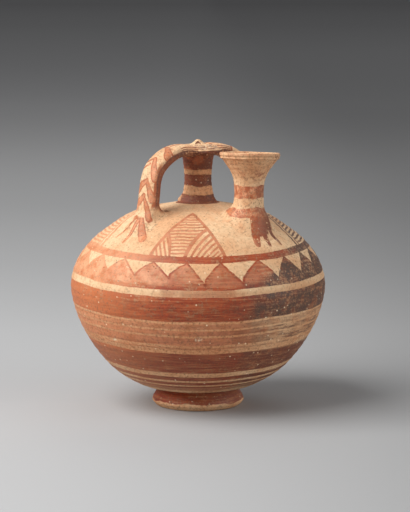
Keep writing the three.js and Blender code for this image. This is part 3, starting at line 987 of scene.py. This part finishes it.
def hatched_triangles(surface, chart, waver):
    """Paint of the triangles between the handles and the spout."""
    turn, rise = chart.turn, chart.rise
    top, low, middle = 61, 25, 5.5
    left_shift = turn.ramp(-150, -112) * turn.fall(-62, -46) * 14.5
    local = (turn - left_shift + (middle + 45 + 360)).math("MODULO", 90) - 45
    across = local * chart.radius * (FULL_TURN / 360)
    up = rise + surface.waver(9, 1.0)
    outer_gap = across.size() - ((up * -0.54 + 0.54 * top) + up.within(28, 46, 8) * 0.8)

    # The triangles at the sides have a second outline and are ruled in one direction only
    sideward = ((turn + middle) * (FULL_TURN / 360)).math("SINE").size().ramp(0.68, 0.72)
    above = up.ramp(24.3, 24.7)
    inside = (outer_gap + sideward * 2.9).fall(-2.1, -1.7) * above
    second = (outer_gap + 4.0).size().fall(0.4, 0.7) * sideward * above
    outline = (outer_gap + 1.0).size().fall(0.75, 1.05) * up.ramp(24.0, 24.4) * up.fall(60.4, 61.2)
    tip = up.within(54.5, 60.5) * outer_gap.fall(-0.4, 0) * (across + 1.5).fall(-0.2, 0.8)

    # Two curves part the hatching into level, slanting and steep lines
    up_in = up - low
    bend = up_in.most(6) - 6
    divider = across - (bend * bend * -0.02 - 8.7 - sideward * 40)
    slope = up_in.math("POWER", 3) * 0.00055 + up_in * 0.27 - 1 + sideward * 40
    slope = across - slope
    at_left, at_right = divider.fall(-0.2, 0.2), slope.ramp(-0.2, 0.2)
    ripple = across.wave(11, 0.6) * 0.16 + across.wave(4.1, 2.0) * 0.08
    rungs = (up + ripple - across * 0.04 + 200).ruled(2.3) * up.ramp(25.6, 26) * up.fall(56.4, 57)
    slants = (slope / up_in.times_plus(0.045, 1) + 0.6 + waver * 0.3 + 200).ruled(2.7)
    steeps = (across + up_in * 0.2 + 200.3).ruled(2.3)
    hatch = (rungs * at_left.flipped() * at_right.flipped()).most(slants * at_right).most(steeps * at_left)
    hatch = hatch.most(divider.size().fall(0.45, 0.75)).most(slope.size().fall(0.5, 0.8))
    return (hatch * inside).most(outline).most(tip).most(second)


def shoulder_paint():
    surface = Surface("buff_clay_paint")
    chart = Chart(surface)
    level, rise, side = chart.level, chart.rise, chart.side
    smear = level.within(2.5, 6.6, 0.5) * (side + surface.waver(9, 0.8, 3)).within(-0.3, 0.24, 0.15)
    paint = level.within(-9.7, 2.9).most(level.within(20.7, 24.7)).most(smear * 0.5)
    waver = surface.waver(3, 1.2)
    belt, thin = zigzag(surface, chart, waver)
    paint = paint.most(belt).most(hatched_triangles(surface, chart, waver))

    gap = both_drops(surface).least(worn_hand(surface))
    paint = paint.most(gap.filled())
    above_belt = rise.ramp(25, 25.4)
    wash = surface.waver(4, 0.8, 3) + side.ramp(-0.2, 0.4, 0.95, 0.7)
    wash = wash * side.ramp(0.4, 0.55, 1, 0.3)
    thin = thin.most(rise.ramp(26, 27) * gap.pooled().times_plus(-0.75, 1) * wash)
    # Painted light and shade: paler paint at the lit left edge and full paint at the shaded right edge above
    # the belt, and paler paint on the line's left side.
    thin = thin.most(above_belt * side.ramp(0.5, 0.7, 0.5, 0).most(side.ramp(-0.78, -0.55, 0.75, 0)))
    thin = thin.most(level.ramp(20, 21) * side.ramp(-0.75, -0.1, 0.6, 0) * gap.ramp(0.3, 0.5))
    # Painted shade: darker paint along the shaded right edge above the belt.
    dark = chart.dark.most(rise.ramp(25, 26) * (side + rise * 0.004).ramp(0.86, 0.96))
    orange = rise.ramp(2, 8, 0.35, 0.0) * side.ramp(-0.6, -0.1, 0.3, 1)
    return clay_finish(
        surface, paint, chart.painted_light_left, dark, (0, 0, 0), orange, thin,
        comb=rise.ramp(21, 25, 0.8, 0.15), grain=0.65, white=0.5, wear=side.ramp(0.45, 0.8, 0, 0.05),
    )


def height_bands(surface, bands):
    """Painted bands at heights, with hand-drawn edges."""
    waver = surface.waver(7, 2.6) + surface.waver(1.8, 0.6)
    return surface.banded(surface.z + waver, bands[0][0] - 1, bands[-1][1] + 1, edges(bands))


def banded_paint(name, bands, dark, seed=(0, 0, 0), orange=0.2, comb=0.35, neck=False):
    """Bands round the foot, or round the false neck, whose top is fired orange and whose lump is bare, with
    painted light and shade.
    """
    surface = Surface(name)
    paint = height_bands(surface, bands)
    lateral = (surface.x - surface.y) / (surface.from_axis() + 4)
    # Painted shade: the paint is darker towards the shaded right side.
    fired_and_lit_orange, dark_with_shade_right = 0.0, lateral.ramp(-1, 1, dark - 0.2, dark + 0.3)
    if neck:
        paint = paint * (lateral.fall(-0.95, -0.88) * surface.z.within(106.2, 109.0, 0.3)).flipped()
        # The orange patches at the neck's top are fired; their greater share on the lit left side is painted
        # light.
        patches = surface.noise(4, 3, 0.6).ramp(0.46, 0.6)
        fired_and_lit_orange = patches * lateral.ramp(-0.6, 0.6, 0.9, 0.3) * surface.z.ramp(121, 124)
        dark_with_shade_right = dark_with_shade_right * fired_and_lit_orange.flipped()
    return clay_finish(surface, paint, fired_and_lit_orange, dark_with_shade_right, seed, orange, comb=comb, white=0.6)


def disc_paint():
    surface = Surface("disc_clay_paint")
    place = surface.from_axis() + surface.waver(6, 1.6, 3)
    lines = place.within(11.2, 11.8).most(place.within(9.2, 9.9)).most(place.within(6.8, 7.3))
    lines = lines * surface.z.ramp(132.9, 133.3) * surface.noise(5, 3).ramp(0.34, 0.48)
    crown = surface.z.ramp(133, 134)
    dirt = surface.noise(2.0, 4, 0.7).ramp(0.5, 0.6) * crown * 0.8
    height = surface.z + surface.waver(5, 0.9, 3)
    rings = height.within(133.3, 133.65).most(height.within(134.15, 134.35))
    # Painted shadow: darker paint along the underside of the disc's rim, all round.
    paint = lines.most(rings).most(dirt).most(height.fall(132.2, 132.7))
    aside = surface.vector("ADD", surface.place, (5, 50, 9))
    pale = surface.noise(1.6, 3, 0.6, at=aside).ramp(0.54, 0.62) * 0.6 * crown
    return clay_finish(surface, paint, 0.0, 0.75, (9, 3, 60), comb=0.2, scars=pale)


def knob_paint():
    surface = Surface("knob_clay_paint")
    at = surface.joined(surface.rightward(), surface.z)
    chip = surface.strokes(at, [(-1.3, 135.4, -0.1, 136.3, 0.25, 0.5), (-0.1, 136.3, 1.2, 135.7, 0.5, 0.25)])
    chip = chip.filled() * surface.forward().ramp(0.3, 0.8)
    return clay_finish(surface, chip, 0.0, 0.8, (77, 3, 60), comb=0.2)


# Strokes on the strap, across and along it: start, end and half-widths. They make chevrons down the outside.
strap_strokes = [
    (-6, 9.5, 0, 11.8, 0.6, 1.2), (0, 12, 6, 17.5, 1.2, 2.4), (-6, 23.5, -0.5, 20.4, 0.5, 1.0),
    (-6, 26.5, -1.2, 23.6, 0.4, 0.6), (0, 21, 5.2, 29.5, 1.2, 2.3), (-5.6, 36.5, -3.2, 33.2, 1.8, 1.7),
    (-3.2, 33.2, 0.5, 31, 1.7, 1.1), (0.5, 31, 5.0, 40, 1.1, 2.1), (-5.6, 45, -3, 41.5, 2.1, 1.9),
    (-3, 41.5, -0.5, 38.4, 1.9, 1.2), (-0.4, 39.2, 2.2, 43.2, 0.9, 1.3), (2.2, 43.2, 5.1, 50, 1.3, 1.5),
    (-5.4, 52, -2.4, 49.6, 1.4, 1.0), (-3.4, 8.6, 0, -5, 0.55, 0.5), (-0.6, 9, 3.6, -5, 0.75, 0.6),
]


def handle_paint():
    surface = Surface("handle_clay_paint")
    across, along, through = surface.split(surface.attribute("strap", vector=True))
    at = surface.joined(across + surface.waver(3, 0.8), along + surface.waver(3.2, 0.8))
    gap = surface.strokes(at, strap_strokes)
    front = gap.filled() * through.ramp(-0.6, 0.2)
    waver = surface.waver(3, 0.7)
    deep = through + waver
    rim = (across.size() + waver * 0.6).ramp(5.0, 5.3) * along.ramp(21, 25)
    side = deep.fall(0.9, 1.3).most(rim) * along.ramp(11, 15) * along.fall(43, 46)
    dark_line = (across.size() + through * 0.9 + waver * 0.6).within(6.1, 6.9, 0.2) * side
    # Partly painted shade: mottled darker paint under the strap near the disc, where shadow falls, over its
    # own paint.
    rough = surface.noise(1.8, 4, 0.7).ramp(0.34, 0.5) * along.fall(14, 17) * deep.fall(0.5, 1.0)
    level = through + waver * 0.4 + along * 0.03
    ends = along.fall(8.5, 10.5) * surface.noise(4, 2).ramp(0.3, 0.42)
    edge_lines = level.within(1.25, 1.65).most(level.within(2.15, 2.6)) * ends
    drops = both_drops(surface)
    paint = front.most(side).most(rough).most(edge_lines).most(drops.filled() * along.ramp(49, 50))
    # Partly painted shade: the strap's paint is darker on its inner side, which lies in shadow.
    dark = through.ramp(-0.4, 1.2, 0.5, 0).most(dark_line * 0.7).most(rough * 0.85).most(edge_lines * 0.5)
    wash = surface.waver(3, 0.8, 3) + 0.62
    thin = through.ramp(0.6, 1.6) * along.ramp(9.5, 10.5) * dark_line.flipped()
    thin = thin * wash * gap.least(drops).pooled().times_plus(-0.8, 1)
    return clay_finish(surface, paint, 0.3, dark, (31, 7, 3), 0.05, thin, comb=0.2, white=0.4)


def spout_paint():
    surface = Surface("spout_clay_paint")
    z, lateral, outward = surface.z, surface.rightward(), surface.y + spout_offset
    from_axis = (surface.x * surface.x).math("ADD", outward * outward).math("SQRT")
    bands = height_bands(surface, [(101.2, 105.4, 1), (110.4, 116.6, 1)])
    bands = bands * (from_axis + surface.waver(3, 1.5)).fall(10.8, 11.3).most(z.ramp(106, 107))
    wrist = surface.stroke(surface.joined(lateral, z), 29.4, 104, 31.4, 95, 2.2, 3.2).filled()
    hand = (worn_hand(surface).filled() * z.fall(101, 102)).most(wrist * surface.forward().ramp(25, 27))
    patches = surface.noise(9, 2).ramp(0.4, 0.56)
    spots = surface.noise(2.0, 4, 0.7).ramp(0.48, 0.6) * z.ramp(113, 122) * patches
    body = (z.ramp(134.6, 135.4) * from_axis.ramp(13.6, 14.2)).flipped()
    # Painted shade: a broken darker line in the groove under the lip.
    groove = (z + surface.waver(5, 0.8, 3)).within(132.6, 133.3) * surface.noise(6, 3).ramp(0.42, 0.52)
    groove = groove * from_axis.ramp(13.4, 14) * 0.7
    paint = bands.most(hand).most(spots * 0.8).most(groove) * body
    # Painted shade: the paint is darker towards the shaded right side of the spout; the spots are its own.
    dark = lateral.ramp(27, 38, 0, 0.7).most(spots * 0.5)
    orange = z.ramp(114, 124, 0.0, 0.35) * surface.noise(7, 3).ramp(0.36, 0.56) * body
    worn = surface.noise(3, 4, 0.7).ramp(0.4, 0.6, 0.1, 0.9) * z.ramp(99, 103, 0.15, 1)
    return clay_finish(surface, paint, 0.15, dark, (50, 9, 20), orange, worn, comb=0.15, white=0.25)


# Pieces
foot_look = banded_paint("foot_clay_paint", [(3.5, 10.5, 1)], 0.2, orange=0.3, comb=1.0)
add_piece("foot_of_clay", foot_mesh(), "foot", foot_look)
add_piece("body_bowl", lower_body_mesh(), "lower_body", lower_body_paint())
pierce(add_piece("body_shoulder", shoulder_mesh(), "shoulder", shoulder_paint()))
neck_bands = [(104, 109.7, 1), (114.1, 120, 1), (122.6, 132, 1)]
neck_look = banded_paint("brown_painted_clay_paint", neck_bands, 0.55, (5, 40, 2), neck=True)
add_piece("neck_spool", neck_mesh(), "false_neck", neck_look)
add_piece("neck_cap", disc_mesh(), "neck_disc", disc_paint())
add_piece("cap_cone", knob_mesh(), "disc_knob", knob_paint())
strap_look = handle_paint()
left_strap = handle_mesh("strap_left_clay", left_handle_rise, 61, True)
right_strap = handle_mesh("strap_right_clay", 0.0, 67, False)
add_piece("strap_left", left_strap, "left_handle", strap_look)
add_piece("strap_right", right_strap, "right_handle", strap_look)
add_piece("pouring_spout", spout_mesh(), "spout", spout_paint())


# Camera at the photograph's angle, on the side between the left handle and the spout
view = bpy.data.cameras.new("view")
view.lens = 140.94
view.sensor_width = 36.0
view.sensor_fit = "AUTO"
camera = put("view", view)
camera.location = (-0.72296, -0.72802, 0.2138)
camera.rotation_euler = (math.radians(90 - 7.58), 0, math.radians(-45))
bpy.context.scene.camera = camera


# Floor
floor_mesh = bpy.data.meshes.new("floor")
floor_reach = 60.0
corners = [(x * floor_reach, y * floor_reach, 0) for x, y in ((-1, -1), (1, -1), (1, 1), (-1, 1))]
floor_mesh.from_pydata(corners, [], [(0, 1, 2, 3)])
floor = put("floor", floor_mesh)
floor_surface = Surface("floor_paper")
# The paper darkens far behind the jar and to the right of it, as painted light and shade. Depth is the root
# of the distance behind it.
depth = (floor_surface.forward() * -1).most(0).math("SQRT")
tones = [
    (0, 0.45), (15, 0.42), (23, 0.37), (31, 0.35), (42, 0.4), (52, 0.47), (69, 0.41), (105, 0.315),
    (164, 0.24),
]
# Painted shade: the paper is darker to the right of the jar.
aside = floor_surface.rightward().ramp(-100, 260) * depth.ramp(38, 80, 0.42, 0.12)
tone = floor_surface.banded(depth, 0, 164, tones) * aside.flipped()
floor_surface.shade("Base Color", floor_surface.joined(tone, tone, tone))
floor_surface.shade("Roughness", 0.9)
floor_surface.shade("Specular IOR Level", 0.2)
floor_mesh.materials.append(floor_surface.material)


jar_middle = 0.07  # height in metres that the lamps face


def add_light(name, turn, height, distance, size, power):
    """A square studio lamp that faces the jar, at a turn in degrees from the camera's side."""
    light = bpy.data.lights.new(name, "AREA")
    light.shape = "SQUARE"
    light.size = size
    light.energy = power
    lamp = put(name, light)
    angle = camera_azimuth + math.radians(turn)
    flat, up = distance * math.cos(math.radians(height)), distance * math.sin(math.radians(height))
    lamp.location = (flat * math.cos(angle), flat * math.sin(angle), jar_middle + up)
    lamp.rotation_euler = (math.radians(90 - height), 0, angle + math.radians(90))


add_light("key", -65, 44, 1.6, 1.5, 41)
add_light("fill", 70, 12, 1.7, 1.2, 13.5)
add_light("back", 165, 45, 1.8, 1.2, 4)

world = bpy.data.worlds.new("room")
world.use_nodes = True
daylight = world.node_tree.nodes["Background"].inputs
daylight["Color"].default_value = (0.8, 0.8, 0.82, 1)
daylight["Strength"].default_value = 0.28
bpy.context.scene.world = world
bpy.context.scene.view_settings.view_transform = "Standard"
